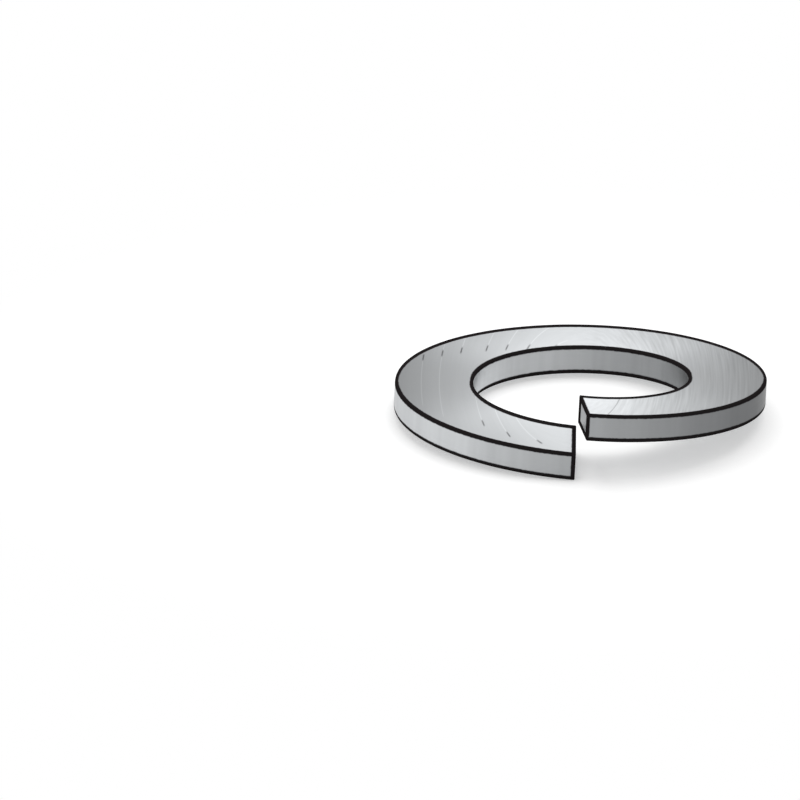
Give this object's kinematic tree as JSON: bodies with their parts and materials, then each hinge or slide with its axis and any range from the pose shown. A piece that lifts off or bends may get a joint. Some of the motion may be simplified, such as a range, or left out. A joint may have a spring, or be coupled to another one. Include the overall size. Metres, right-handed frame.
{
  "type": "spring lock washer",
  "caption": "One turn of flat spring-steel wire, split and sprung open: it sits under a bolt head or nut, pushes back on it when clamped flat, and bites with its ends against loosening.",
  "frame": {"origin": "on the bore's axis, level with the lowest point of the lower end", "axes": "+Z along the bore's axis, from the lower end towards the upper end; -Y towards the split; the wire climbs clockwise seen from +Z, from the lower end on the -X side of the split to the upper end on the +X side"},
  "size_m": [0.021, 0.021, 0.004],
  "materials": {
    "spring_steel": "bright spring steel: ground faces with fine arcs across them, drawn walls, and dark scale left on the edges"
  },
  "bodies": {
    "root": {"spring_washer": "spring_steel"}
  },
  "joints": []
}
